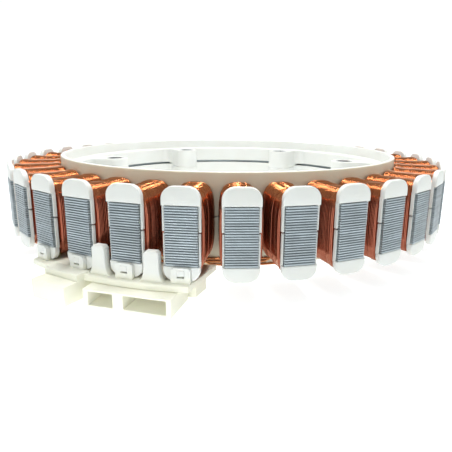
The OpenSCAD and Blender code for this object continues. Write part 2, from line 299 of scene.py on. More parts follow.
class StatorColours(bpy.types.PropertyGroup):
    """Base colours of the finishes."""

    plastic: bpy.props.FloatVectorProperty(
        name="Insulator plastic",
        description="Colour of the mouldings",
        subtype="COLOR",
        default=(0.79, 0.80, 0.765),
    )
    # Painted shade: a tan tone for the hub wall under the rim, where it falls in shade
    painted_hub_shade: bpy.props.FloatVectorProperty(
        name="Painted hub shade",
        description="Colour of the hub's outside",
        subtype="COLOR",
        default=(0.84, 0.78, 0.60),
    )
    # The warmer tone is painted warm light on the plate; the connector housing takes the same tone
    base_plastic: bpy.props.FloatVectorProperty(
        name="Base plastic",
        description="Colour of the foot of the sensor base and of the connector housing",
        subtype="COLOR",
        default=(0.86, 0.845, 0.71),
    )
    steel: bpy.props.FloatVectorProperty(
        name="Sheet steel",
        description="Colour of the laminations",
        subtype="COLOR",
        default=(0.43, 0.485, 0.515),
    )
    copper: bpy.props.FloatVectorProperty(
        name="Copper",
        description="Colour of the enamelled wire",
        subtype="COLOR",
        default=(0.52, 0.17, 0.055),
    )
    plated: bpy.props.FloatVectorProperty(
        name="Plated metal",
        description="Colour of sleeves and contacts",
        subtype="COLOR",
        default=(0.70, 0.70, 0.71),
    )


def deselect():
    """Leaves nothing selected, in object mode."""
    if bpy.context.object and bpy.context.object.mode != "OBJECT":
        bpy.ops.object.mode_set(mode="OBJECT")
    bpy.ops.object.select_all(action="DESELECT")


def take(obj):
    """Makes one object the only selected one and the active one."""
    deselect()
    obj.select_set(True)
    bpy.context.view_layer.objects.active = obj
    return obj


def towards(angle):
    """Unit vectors outwards and sideways at an angle counted from tooth 0, to the right from outside."""
    turn = angle - math.pi / 2
    return Vector((math.cos(turn), math.sin(turn), 0)), Vector((-math.sin(turn), math.cos(turn), 0))


def frame_of(x_axis, y_axis, z_axis, origin):
    """Matrix from three axes and an origin."""
    rotation = Matrix((x_axis, y_axis, z_axis)).transposed()
    return Matrix.Translation(origin) @ rotation.to_4x4()


def standing(angle, radius):
    """Frame for an outline drawn sideways and up, with its thickness along the radius."""
    out, side = towards(angle)
    return frame_of(side, UP, out, out * radius)


def lying(angle, height):
    """Frame for an outline drawn outwards and sideways, with its thickness upwards."""
    out, side = towards(angle)
    return frame_of(out, side, UP, UP * height)


def arc(centre, radius, start, end, steps):
    """Points along an arc, both ends included."""
    turns = [start + (end - start) * i / steps for i in range(steps + 1)]
    return [(centre[0] + radius * math.cos(a), centre[1] + radius * math.sin(a)) for a in turns]


def circle(centre, radius, steps):
    """Points of a circle, anticlockwise."""
    return arc(centre, radius, 0, 2 * math.pi, steps)[:-1]


def sided(plan, hand):
    """A plan as drawn for a hand of 1, or mirrored sideways for a hand of -1."""
    return [(r, hand * s) for r, s in plan]


def rectangle(left, right, bottom, top):
    """Corner points of a rectangle, anticlockwise."""
    return [(left, bottom), (right, bottom), (right, top), (left, top)]


def rounded(half, bottom, top, low_r, high_r, steps=8):
    """Outline of an upright rectangle with round corners, anticlockwise from its lower right."""
    quarter = math.pi / 2
    points = []
    for x, z, radius, start in (
        (half - low_r, bottom + low_r, low_r, -quarter),
        (half - high_r, top - high_r, high_r, 0),
        (high_r - half, top - high_r, high_r, quarter),
        (low_r - half, bottom + low_r, low_r, 2 * quarter),
    ):
        points += arc((x, z), radius, start, start + quarter, steps) if radius else [(x, z)]
    return points


def close_mesh(obj):
    """Merges doubled points and turns every face outwards."""
    take(obj)
    bpy.ops.object.mode_set(mode="EDIT")
    bpy.ops.mesh.select_all(action="SELECT")
    bpy.ops.mesh.remove_doubles(threshold=MERGE)
    bpy.ops.mesh.normals_make_consistent(inside=False)
    bpy.ops.object.mode_set(mode="OBJECT")
    return obj


def place(obj, matrix):
    """Moves a mesh to its place and leaves the object at the origin."""
    take(obj)
    obj.matrix_world = matrix
    bpy.ops.object.transform_apply(location=True, rotation=True, scale=True)
    return obj


def new_curve(name, loops, closed=True, flat=False):
    """A curve object with one straight-sided spline for each list of points."""
    deselect()
    bpy.ops.object.add(type="CURVE", location=(0, 0, 0))
    obj = bpy.context.object
    obj.name = name
    obj.data.dimensions = "2D" if flat else "3D"
    for loop in loops:
        spline = obj.data.splines.new("POLY")
        spline.points.add(len(loop) - 1)
        for point, co in zip(spline.points, loop):
            point.co = (co[0], co[1], 0 if len(co) == 2 else co[2], 1)
        spline.use_cyclic_u = closed
    return obj


def prism(name, loops, depth, matrix, edge=0.0, rounds=1):
    """A round-edged solid from an outline and its holes, with its thickness centred on their plane."""
    obj = new_curve(name, loops, flat=True)
    curve = obj.data
    curve.fill_mode = "BOTH"
    curve.extrude = depth / 2 - edge
    curve.bevel_depth = edge
    curve.bevel_resolution = rounds
    curve.offset = -edge
    take(obj)
    bpy.ops.object.convert(target="MESH")
    return place(close_mesh(bpy.context.object), matrix)


def slab(name, loops, angle, heights, edge=0.0, rounds=1):
    """A round-edged solid from a plan and its holes, between two heights."""
    bottom, top = heights
    return prism(name, loops, top - bottom, lying(angle, (bottom + top) / 2), edge, rounds)


def block(name, angle, radii, sides, heights, edge=0.0, rounds=1):
    """A round-edged block from one radius to another, between two sides and two heights."""
    return slab(name, [rectangle(*radii, *sides)], angle, heights, edge, rounds)


def lathe(name, section, steps):
    """A ring turned from a closed section of radius and height."""
    obj = new_curve(name, [[(r, 0, z) for r, z in section]])
    take(obj)
    bpy.ops.object.convert(target="MESH")
    obj = bpy.context.object
    turn = obj.modifiers.new("Turn", "SCREW")
    turn.axis = "Z"
    turn.angle = 2 * math.pi
    turn.steps = steps
    turn.render_steps = steps
    turn.use_merge_vertices = True
    bpy.ops.object.modifier_apply(modifier=turn.name)
    return close_mesh(obj)


def ring_copies(obj, count):
    """Repeats a mesh evenly round the stator's axis."""
    deselect()
    bpy.ops.object.empty_add(location=(0, 0, 0), rotation=(0, 0, 2 * math.pi / count))
    pivot = bpy.context.object
    take(obj)
    array = obj.modifiers.new("Round", "ARRAY")
    array.count = count
    array.use_relative_offset = False
    array.use_object_offset = True
    array.offset_object = pivot
    bpy.context.view_layer.update()
    bpy.ops.object.modifier_apply(modifier=array.name)
    bpy.data.objects.remove(pivot)
    return obj


def join(name, objs):
    """Joins meshes into one named object."""
    deselect()
    for obj in objs:
        obj.select_set(True)
    bpy.context.view_layer.objects.active = objs[0]
    bpy.ops.object.join()
    joined = bpy.context.object
    joined.name = name
    joined.data.name = name
    return joined


def soften(obj, angle=35):
    """Shades a mesh smooth, keeping edges that are sharper than an angle in degrees."""
    take(obj)
    bpy.ops.object.shade_smooth_by_angle(angle=math.radians(angle))
    return obj


def hand_over(obj, material, nodes):
    """Gives a finished piece its material and its place in the frame."""
    obj.data.materials.clear()
    obj.data.materials.append(material)
    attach(obj, "root")
    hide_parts(*nodes)


class Shading:
    """Node tree of a material or of the room, with the coordinates that its patterns follow."""

    def __init__(self, owner, coordinates):
        owner.use_nodes = True
        self.nodes = owner.node_tree.nodes
        self.links = owner.node_tree.links
        self.coords = self.nodes.new("ShaderNodeTexCoord").outputs[coordinates]

    def along(self, axis, start, end):
        """Nought before one place on an axis and one after another."""
        parts = self.nodes.new("ShaderNodeSeparateXYZ")
        self.links.new(self.coords, parts.inputs["Vector"])
        return self.spread(parts.outputs[axis], 0.0, 1.0, start, end)

    def spread(self, value, low, high, start=0.3, end=0.7):
        """Maps a value, such as a noise in its usual range, to a range of numbers."""
        node = self.nodes.new("ShaderNodeMapRange")
        node.inputs["From Min"].default_value = start
        node.inputs["From Max"].default_value = end
        node.inputs["To Min"].default_value = low
        node.inputs["To Max"].default_value = high
        self.links.new(value, node.inputs["Value"])
        return node.outputs["Result"]

    def blend(self, factor, first, second):
        """Mixes two colours, each a colour or a socket, by a factor socket."""
        node = self.nodes.new("ShaderNodeMix")
        node.data_type = "RGBA"
        self.links.new(factor, node.inputs["Factor"])
        for socket, colour in (("A", first), ("B", second)):
            target = next(i for i in node.inputs if i.name == socket and i.type == "RGBA")
            if isinstance(colour, bpy.types.NodeSocket):
                self.links.new(colour, target)
            else:
                target.default_value = (*colour, 1)
        return next(o for o in node.outputs if o.type == "RGBA")


class Finish(Shading):
    """Node tree of one procedural material on Object coordinates."""

    def __init__(self, name):
        self.material = bpy.data.materials.new(name)
        super().__init__(self.material, "Object")
        self.shader = self.nodes["Principled BSDF"]

    def stretched(self, scale):
        """Object coordinates stretched by three factors."""
        mapping = self.nodes.new("ShaderNodeMapping")
        mapping.inputs["Scale"].default_value = scale
        self.links.new(self.coords, mapping.inputs["Vector"])
        return mapping.outputs["Vector"]

    def noise(self, scale, detail=3.0, coords=None):
        """Soft noise with a number of cells in each metre."""
        node = self.nodes.new("ShaderNodeTexNoise")
        node.inputs["Scale"].default_value = scale
        node.inputs["Detail"].default_value = detail
        self.links.new(coords or self.coords, node.inputs["Vector"])
        return node.outputs["Fac"]

    def ring_of(self, inner, outer, soft_in=0.2 * MM, soft_out=6 * MM):
        """One between two radii about the stator's axis and nought elsewhere, with soft ends."""
        length = self.nodes.new("ShaderNodeVectorMath")
        length.operation = "LENGTH"
        self.links.new(self.stretched((1, 1, 0)), length.inputs[0])
        radius = length.outputs["Value"]
        both = self.nodes.new("ShaderNodeMath")
        both.operation = "MULTIPLY"
        self.links.new(self.spread(radius, 0.0, 1.0, inner, inner + soft_in), both.inputs[0])
        self.links.new(self.spread(radius, 1.0, 0.0, outer, outer + soft_out), both.inputs[1])
        return both.outputs["Value"]

    def feed(self, socket, source):
        """Links a source to one of the shader's sockets."""
        self.links.new(source, self.shader.inputs[socket])

    def fix(self, **values):
        """Sets constant values on the shader's sockets, with underscores for spaces."""
        for name, value in values.items():
            self.shader.inputs[name.replace("_", " ")].default_value = value

    def bump(self, height, distance, strength):
        """Adds a fine relief."""
        node = self.nodes.new("ShaderNodeBump")
        node.inputs["Distance"].default_value = distance
        node.inputs["Strength"].default_value = strength
        self.links.new(height, node.inputs["Height"])
        self.feed("Normal", node.outputs["Normal"])


def tinted(colour, factor, warm=1.0):
    """A colour made darker or lighter by a factor, and warmer with warm below 1 or cooler above it."""
    return (colour[0] * factor, colour[1] * factor * (1 + warm) / 2, colour[2] * factor * warm)


def moulded_plastic(name, colour, painted_hub_shade=None, foot=None):
    """Satin moulding with a fine grain, with painted warm shade on the hub's outside and a painted warmer
    tone of light at its foot.
    """
    finish = Finish(name)
    cloud = finish.spread(finish.noise(scale=55), low=0.0, high=1.0)
    tone = finish.blend(cloud, tinted(colour, 0.965, warm=0.97), colour)
    # Painted shade in a tan tone on the hub's outside and the liner walls next to it
    if painted_hub_shade:
        tone = finish.blend(finish.ring_of(HUB_SHADE_IN, HUB_SHADE_OUT), tone, painted_hub_shade)
    # Painted light: a warmer tone on the plate and the feet of the posts and tabs, below a height
    if foot:
        tone = finish.blend(finish.along("Z", PLATE_TOP, FOOT_PAINTED_LIGHT_TOP), foot, tone)
    finish.feed("Base Color", tone)
    finish.feed("Roughness", finish.spread(finish.noise(scale=320), low=0.36, high=0.5))
    finish.bump(finish.noise(scale=2600, detail=2.0), distance=0.02 * MM, strength=0.25)
    finish.fix(
        IOR=1.5,
        Subsurface_Weight=0.08,
        Subsurface_Radius=(0.004, 0.003, 0.002),
        Subsurface_Scale=0.4,
    )
    return finish.material


def sheet_steel(name, colour, sheets):
    """Punched electrical steel whose tone changes a little from sheet to sheet."""
    finish = Finish(name)
    per_sheet = sheets / (STACK_TOP - STACK_BOTTOM)
    bands = finish.noise(scale=1.0, detail=1.0, coords=finish.stretched((35, 35, per_sheet * 0.9)))
    scratches = finish.noise(scale=1.0, detail=2.0, coords=finish.stretched((300, 300, 3000)))
    stains = finish.spread(finish.noise(scale=140, detail=4.0), low=0.0, high=0.45)
    shades = finish.spread(bands, low=0.0, high=1.0)
    tone = finish.blend(shades, tinted(colour, 0.78), tinted(colour, 1.12))
    finish.feed("Base Color", finish.blend(stains, tone, tinted(colour, 0.62, warm=0.93)))
    finish.feed("Roughness", finish.spread(finish.noise(scale=500), low=0.34, high=0.52))
    finish.bump(scratches, distance=0.03 * MM, strength=0.3)
    finish.fix(Metallic=0.75)
    return finish.material


def enamelled_copper(name, colour, low, high):
    """Copper wire under clear enamel, golden brown above one height, with painted shade in a deeper red
    below another.
    """
    finish = Finish(name)
    patches = finish.spread(finish.noise(scale=60, detail=1.0), low=0.0, high=1.0)
    golden = finish.blend(patches, tinted(colour, 0.85, warm=0.9), tinted(colour, 1.05))
    red, green, blue = colour
    # Painted shade: a darker, redder copy of the copper for the coil sides and undersides
    painted_shade = (red * 0.66, green * 0.6, blue * 1.05)
    finish.feed("Base Color", finish.blend(finish.along("Z", low, high), painted_shade, golden))
    finish.feed("Roughness", finish.spread(finish.noise(scale=300), low=0.1, high=0.13))
    finish.bump(finish.noise(scale=500, detail=1.0), distance=0.01 * MM, strength=0.15)
    finish.fix(Metallic=0.82, Specular_Tint=(1.0, 0.72, 0.5, 1), Coat_Weight=0.26, Coat_Roughness=0.1)
    return finish.material


def plated_metal(name, colour):
    """Plated steel with faint drawing marks."""
    finish = Finish(name)
    marks = finish.noise(scale=1.0, detail=2.0, coords=finish.stretched((900, 900, 60)))
    shades = finish.spread(marks, low=0.0, high=1.0)
    finish.feed("Base Color", finish.blend(shades, tinted(colour, 0.85), colour))
    finish.feed("Roughness", finish.spread(marks, low=0.25, high=0.42))
    finish.bump(marks, distance=0.02 * MM, strength=0.25)
    finish.fix(Metallic=1.0)
    return finish.material


def pale_floor(name):
    """White light table, lit a little from below."""
    finish = Finish(name)
    soft = finish.spread(finish.noise(scale=3.0), low=0.0, high=1.0)
    finish.feed("Base Color", finish.blend(soft, (0.64, 0.64, 0.64), (0.66, 0.66, 0.66)))
    finish.fix(Roughness=0.6, Emission_Color=(0.95, 1, 1, 1), Emission_Strength=0.79)
    return finish.material


def tooth_points():
    """Outline of one tooth and shoe outside the yoke, from its right side to its left, drawn outwards."""
    back = FACE - SHOE_DEPTH
    half = [
        (math.sqrt(YOKE_OUT**2 - TOOTH_HALF**2), TOOTH_HALF),
        (back, TOOTH_HALF),
        (back, SHOE_HALF),
        (FACE - SHOE_BEVEL, SHOE_HALF),
        (FACE, SHOE_HALF - SHOE_BEVEL),
    ]
    return sided(half, -1) + half[::-1]


def core_outline():
    """Outline of a whole sheet, tooth by tooth."""
    points = []
    for k in range(TEETH):
        out, side = towards(k * PITCH)
        points += [(out * r + side * s).to_2d() for r, s in tooth_points()]
    return points


class STATOR_OT_core(bpy.types.Operator):
    """Stacks the punched steel sheets of the core"""

    bl_idname = "stator.core"
    bl_label = "Steel sheets"

    def execute(self, context):
        sizes = context.scene.stator_sizes
        step = (STACK_TOP - STACK_BOTTOM) / sizes.sheets
        thickness = step * (1 - SHEET_GAP)
        loops = [core_outline(), circle((0, 0), YOKE_IN, BORE_STEPS)]
        lowest = lying(ALONG_X, STACK_BOTTOM + step / 2)
        sheet = prism("sheet", loops, thickness, lowest, SHEET_BURR * step, rounds=0)
        stack = sheet.modifiers.new("Stack", "ARRAY")
        stack.count = sizes.sheets
        stack.use_relative_offset = False
        stack.use_constant_offset = True
        stack.constant_offset_displace = (0, 0, step)
        take(sheet)
        bpy.ops.object.modifier_apply(modifier=stack.name)
        core = soften(join("steel_sheets", [sheet]), angle=30)
        steel = sheet_steel("Sheet steel", context.scene.stator_colours.steel, sizes.sheets)
        hand_over(core, steel, ["lamination_core"])
        return {"FINISHED"}


def soft_section(points, radius, steps=3, most=0.45):
    """A closed section with its corners rounded, up to a share of the sides beside each."""
    result = []
    count = len(points)
    for i, here in enumerate(points):
        corner = Vector(here)
        before = Vector(points[i - 1]) - corner
        after = Vector(points[(i + 1) % count]) - corner
        cut = min(radius, before.length * most, after.length * most)
        start = corner + before.normalized() * cut
        end = corner + after.normalized() * cut
        for s in range(steps + 1):
            t = s / steps
            point = start * (1 - t) ** 2 + corner * 2 * t * (1 - t) + end * t**2
            result.append((point.x, point.y))
    return result


def lug_outline(inner_cut=0.0):
    """Plan of a bolt lug from its boss to the hub's inner wall, or of the hollow inside its ribs."""
    boss = BOSS_R - inner_cut
    root = LUG_ROOT_HALF - inner_cut
    wall_out = math.sqrt((HUB_IN + LUG_SINK) ** 2 - root**2)
    nose = arc((BOLT_R, 0), boss, math.pi / 2, 3 * math.pi / 2, steps=20)
    return [(wall_out, root)] + nose + [(wall_out, -root)]


def lug_corners(heights):
    """Fillets between the lugs' sides and the hub's inner wall, between two heights."""
    sunk = CORNER_SIDE - CORNER_SINK
    wall = HUB_IN + CORNER_SINK
    across = CORNER_SIDE + CORNER_R
    centre = (math.sqrt((HUB_IN - CORNER_R) ** 2 - across**2), across)
    lean = math.atan2(centre[1], centre[0])
    plan = arc(centre, CORNER_R, -math.pi / 2, lean, steps=8)
    plan += [(wall * math.cos(lean), wall * math.sin(lean)), (wall, sunk), (centre[0], sunk)]
    pair = [slab("corner", [sided(plan, hand)], LUG_ANGLE, heights) for hand in (-1, 1)]
    return ring_copies(join("corners", pair), LUGS)


def around_bolt(radius):
    """Circle about a lug's bolt axis."""
    return circle((BOLT_R, 0), radius, HOLE_STEPS)


def cover_sides(strip_half, heights):
    """Liner wall, flange and strip on both sides of a tooth, between two heights."""
    near = TOOTH_HALF + CLEAR
    shoe_side = SHOE_HALF + CLEAR
    shoe_back = FACE - SHOE_DEPTH - CLEAR
    plan = [
        (LINER_IN, near),
        (shoe_back, near),
        (shoe_back, shoe_side),
        (STRIP_FACE, shoe_side),
        (STRIP_FACE, strip_half),
        (TIP_IN, strip_half),
        (TIP_IN, LINER_HALF),
        (LINER_IN, LINER_HALF),
    ]
    return [slab("cover_side", [sided(plan, hand)], 0, heights, LINER_EDGE) for hand in (-1, 1)]


def tooth_covers(front, lid_heights, sides, edge):
    """Tip with a given front, lid and liner walls of a tooth, repeated on every tooth."""
    lid = block("lid", 0, (LINER_IN, TIP_IN + edge), (-LINER_HALF, LINER_HALF), lid_heights, LID_EDGE)
    tip = prism("tip", [front], TIP_FACE - TIP_IN, standing(0, (TIP_IN + TIP_FACE) / 2), edge, rounds=2)
    return ring_copies(join("covers", [tip, lid, *sides]), TEETH)


class STATOR_OT_upper_insulator(bpy.types.Operator):
    """Models the upper moulding: hub, lugs, liners and tips"""

    bl_idname = "stator.upper_insulator"
    bl_label = "Upper insulator"

    def execute(self, context):
        edge = context.scene.stator_sizes.edge
        deck = STACK_TOP + DECK_T
        wall_bottom = INNER_SPLIT + INNER_GAP
        seam = SPLIT + SPLIT_GAP / 4
        section = [
            (HUB_IN, wall_bottom),
            (BORE_SEAT, wall_bottom),
            (BORE_SEAT, STACK_TOP),
            (YOKE_SEAT, STACK_TOP),
            (YOKE_SEAT, seam),
            (HUB_R, seam),
            (HUB_R, RIM_TOP),
            (HUB_R - RIM_T, RIM_TOP),
            (HUB_R - RIM_T, deck),
            (HUB_IN, deck),
        ]
        hub = lathe("hub", soft_section(section, HUB_ROUND), HUB_STEPS)
        lug = slab("lug", [lug_outline(), around_bolt(SLEEVE_HOLE)], LUG_ANGLE, (SPLIT, LUG_TOP), edge)
        lugs = ring_copies(lug, LUGS)
        corners = lug_corners((wall_bottom, deck))

        sides = cover_sides(STRIP_HALF, (SPLIT + SPLIT_GAP / 2, STACK_TOP + edge))
        front = rounded(TIP_HALF, STACK_TOP + CLEAR, TIP_TOP, 0.0, TIP_TOP_R, TIP_STEPS)
        covers = tooth_covers(front, (STACK_TOP + CLEAR, STACK_TOP + LINER_T), sides, edge)
        moulding = soften(join("upper_moulding", [covers, hub, lugs, corners]))
        colours = context.scene.stator_colours
        plastic = moulded_plastic("Insulator plastic", colours.plastic, painted_hub_shade=colours.painted_hub_shade)
        hand_over(moulding, plastic, ["upper_insulator"])
        return {"FINISHED"}


class STATOR_OT_lower_insulator(bpy.types.Operator):
    """Models the lower moulding: hub, skirt, lugs, liners, tips and catches"""

    bl_idname = "stator.lower_insulator"
    bl_label = "Lower insulator"

    def execute(self, context):
        edge = context.scene.stator_sizes.edge
        deck = STACK_BOTTOM - DECK_T
        seam = SPLIT - SPLIT_GAP / 4
        section = [
            (HUB_IN, deck),
            (HUB_R - RIM_T, deck),
            (HUB_R - RIM_T, SKIRT_BOTTOM),
            (HUB_R, SKIRT_BOTTOM),
            (HUB_R, seam),
            (YOKE_SEAT, seam),
            (YOKE_SEAT, STACK_BOTTOM),
            (BORE_SEAT, STACK_BOTTOM),
            (BORE_SEAT, INNER_SPLIT),
            (HUB_IN, INNER_SPLIT),
        ]
        hub = lathe("hub", soft_section(section, HUB_ROUND), HUB_STEPS)

        bore = around_bolt(SLEEVE_HOLE)
        upright = (RIB_BOTTOM, SPLIT)
        foot = slab("foot", [around_bolt(FOOT_R), bore], LUG_ANGLE, (SEAT, RIB_BOTTOM + edge), RIB_EDGE)
        boss = slab("boss", [around_bolt(BOSS_R), bore], LUG_ANGLE, upright, RIB_EDGE)
        rib = [(BOLT_R, BOSS_R), (BOLT_R, BOSS_R - RIB_T), lug_outline(RIB_T)[0], lug_outline()[0]]
        ribs = [slab("rib", [sided(rib, hand)], LUG_ANGLE, upright, RIB_EDGE) for hand in (-1, 1)]
        lugs = ring_copies(join("lugs", [foot, boss, *ribs]), LUGS)
        corners = lug_corners((RIB_BOTTOM, INNER_SPLIT))

        sides = cover_sides(LOWER_TIP_HALF, (STACK_BOTTOM - edge, SPLIT - SPLIT_GAP / 2))
        front = rounded(LOWER_TIP_HALF, TIP_BOTTOM, STACK_BOTTOM - CLEAR, TIP_BOTTOM_R, 0.0, TIP_STEPS)
        covers = tooth_covers(front, (STACK_BOTTOM - LINER_T, STACK_BOTTOM - CLEAR), sides, edge)

        window = PLATE_TOP + WINDOW_Z
        reach = (TIP_FACE - edge, TAB_IN + TAB_T)
        half = WINDOW_HALF - CATCH_CLEAR
        heights = (window + CATCH_GAP, window + WINDOW_H - CATCH_CLEAR)
        catches = [block("catch", k * PITCH, reach, (-half, half), heights) for k in BASE_TEETH]
        moulding = soften(join("lower_moulding", [covers, hub, lugs, corners, *catches]))
        plastic = bpy.data.materials["Insulator plastic"]
        hand_over(moulding, plastic, ["lower_insulator"])
        return {"FINISHED"}


def eased(share):
    """A share from nought to one that starts and ends slowly."""
    return 2 * share**2 if share < 0.5 else 1 - 2 * (1 - share) ** 2


def turn_points(half, bottom, top):
    """One turn of wire round a tooth from below, as sideways and height with its outward direction."""
    middle = (top + bottom) / 2
    tall = (top - bottom) / 2 - CROWN
    quarter = TURN_STEPS // 4
    points = []
    for i in range(TURN_STEPS):
        turn = math.pi / 2 * (3 + i // quarter + eased(i % quarter / quarter))
        side = math.copysign(abs(math.cos(turn)) ** (2 / SQUARENESS), math.cos(turn))
        rise = math.copysign(abs(math.sin(turn)) ** (2 / SQUARENESS), math.sin(turn))
        across = math.copysign(abs(side) ** (SQUARENESS - 1), side) / half
        along = math.copysign(abs(rise) ** (SQUARENESS - 1), rise) / tall
        height = middle + tall * rise + math.copysign(CROWN, rise) * (1 - side**2)
        points.append((half * side, height, math.atan2(along, across)))
    return points


def winding_path(rng, shape, reach, turns, jitter):
    """Points of a wound wire between two radii, as radius, sideways and height."""
    loop = turn_points(*shape)
    steps = len(loop)
    path = []
    for turn in range(turns):
        lift = rng.uniform(-jitter, jitter)
        slip = rng.uniform(-jitter, jitter)
        for i, (side, height, out) in enumerate(loop):
            share = (turn + i / steps) / turns
            radius = reach[0] + (reach[1] - reach[0]) * share + slip * math.sin(math.pi * i / steps)
            path.append((radius, side + lift * math.cos(out), height + lift * math.sin(out)))
    return path


def wire_mesh(name, paths, diameter, matrix):
    """Round wires swept along paths and made a mesh."""
    obj = new_curve(name, paths, closed=False)
    obj.data.bevel_depth = diameter / 2
    obj.data.bevel_resolution = 1
    obj.data.use_fill_caps = True
    take(obj)
    bpy.ops.object.convert(target="MESH")
    return place(bpy.context.object, matrix)


class STATOR_OT_coils(bpy.types.Operator):
    """Winds a coil of enamelled wire on every tooth"""

    bl_idname = "stator.coils"
    bl_label = "Coils"

    def execute(self, context):
        sizes = context.scene.stator_sizes
        colour = context.scene.stator_colours.copper
        copper = enamelled_copper("Enamelled copper", colour, PAINTED_SHADE_LOW, PAINTED_SHADE_HIGH)
        wire = sizes.wire
        depth = BAND_H + wire / 2 - PROUD
        half = COIL_HALF - depth
        bottom = COIL_BOTTOM + depth
        top = COIL_TOP - depth
        under = (half, bottom, top)
        over = (half + BAND_RISE, bottom - BAND_RISE, top + BAND_RISE)
        first = COIL_IN + wire / 2
        last = COIL_OUT - wire / 2
        turns = round((last - first) / wire)
        band_turns = int(BAND_W / wire)
        inset = PACKING_INSET * wire
        room = LINER_T + PACKING_CLEAR
        hollow = LINER_HALF + PACKING_CLEAR
        section = [
            rounded(half - inset, bottom + inset, top - inset, PACKING_R, PACKING_R, steps=4),
            rounded(hollow, STACK_BOTTOM - room, STACK_TOP + room, 0.0, 0.0),
        ]
        for k, node in enumerate(COILS):
            rng = random.Random(COIL_SEED + k)
            paths = [winding_path(rng, under, (first, last), turns, TURN_JITTER)]
            for start in (COIL_IN + BAND_INSET, COIL_OUT - BAND_INSET - BAND_W):
                reach = (start + wire / 2, start + BAND_W - wire / 2)
                paths.append(winding_path(rng, over, reach, band_turns, BAND_JITTER))
            for _ in range(rng.randint(0, sizes.loose_turns)):
                begin = rng.uniform(first + BAND_W, last - BAND_W)
                finish = begin + rng.choice((-1, 1)) * rng.uniform(*LOOSE_DRIFT) * wire
                paths.append(winding_path(rng, over, (begin, finish), 1, LOOSE_JITTER))
            windings = wire_mesh("windings", paths, wire, lying(k * PITCH, 0))
            middle = standing(k * PITCH, (COIL_IN + COIL_OUT) / 2)
            packing = prism("packing", section, COIL_OUT - COIL_IN, middle)
            coil = soften(join(f"winding_{k + 1:02d}", [windings, packing]), WIRE_SMOOTH)
            hand_over(coil, copper, [node])
        return {"FINISHED"}


class STATOR_OT_crossovers(bpy.types.Operator):
    """Lays the wires that run from coil to coil round the skirt"""

    bl_idname = "stator.crossovers"
    bl_label = "Crossover wires"

    def execute(self, context):
        wire = context.scene.stator_sizes.crossover
        radius = WIRES_HIGH.y - wire / 2
        step = (WIRES_HIGH.z - WIRES_LOW.z - wire) / (CROSSOVER_ROWS - 1)
        rng = random.Random(CROSSOVER_SEED)
        paths = []
        for k in range(TEETH):
            row = k % CROSSOVER_ROWS
            height = WIRES_HIGH.z - wire / 2 - row * step
            start = (k + CROSSOVER_MARGIN) * PITCH
            end = (k + CROSSOVER_ROWS - CROSSOVER_MARGIN) * PITCH
            path = []
            for i in range(CROSSOVER_STEPS + 1):
                share = i / CROSSOVER_STEPS
                rise = max(0.0, 1 - share / CROSSOVER_BEND, 1 - (1 - share) / CROSSOVER_BEND)
                out, _ = towards(start + (end - start) * share)
                sway = rng.uniform(-CROSSOVER_SWAY, CROSSOVER_SWAY)
                point = out * (radius + CROSSOVER_FLARE * wire * rise)
                path.append((point.x, point.y, height + sway + (COIL_BOTTOM + wire - height) * rise))
            paths.append(path)
        wires = soften(wire_mesh("crossovers", paths, wire, Matrix.Identity(4)), WIRE_SMOOTH)
        colour = tinted(context.scene.stator_colours.copper, 1.25, warm=1.5)
        # A touch of painted shade in the deeper red on the underside of the lowest crossover row
        copper = enamelled_copper("Crossover copper", colour, WIRES_LOW.z - MM, WIRES_LOW.z + wire / 2)
        hand_over(wires, copper, ["crossover_wires"])
        return {"FINISHED"}


def sector(inner, outer, half, steps=24):
    """Plan of a plate with round inner and outer edges and parallel ends."""
    far = math.asin(half / outer)
    near = math.asin(half / inner)
    return arc((0, 0), outer, -far, far, steps) + arc((0, 0), inner, near, -near, steps)


def post_outline():
    """Front of a sensor post: chamfered top and sides that flare out to its foot."""
    foot = POST_HALF + POST_FLARE
    sweep = arc((0, 0), 1, -math.pi / 2, -math.pi, steps=8)
    right = [(foot, -BASE_SINK)]
    right += [(foot + POST_FLARE * x, POST_FLARE_H * (1 + z)) for x, z in sweep]
    right += [(POST_HALF, POST_H - POST_CHAMFER), (POST_HALF - POST_CHAMFER, POST_H)]
    return right + [(-x, z) for x, z in reversed(right)]


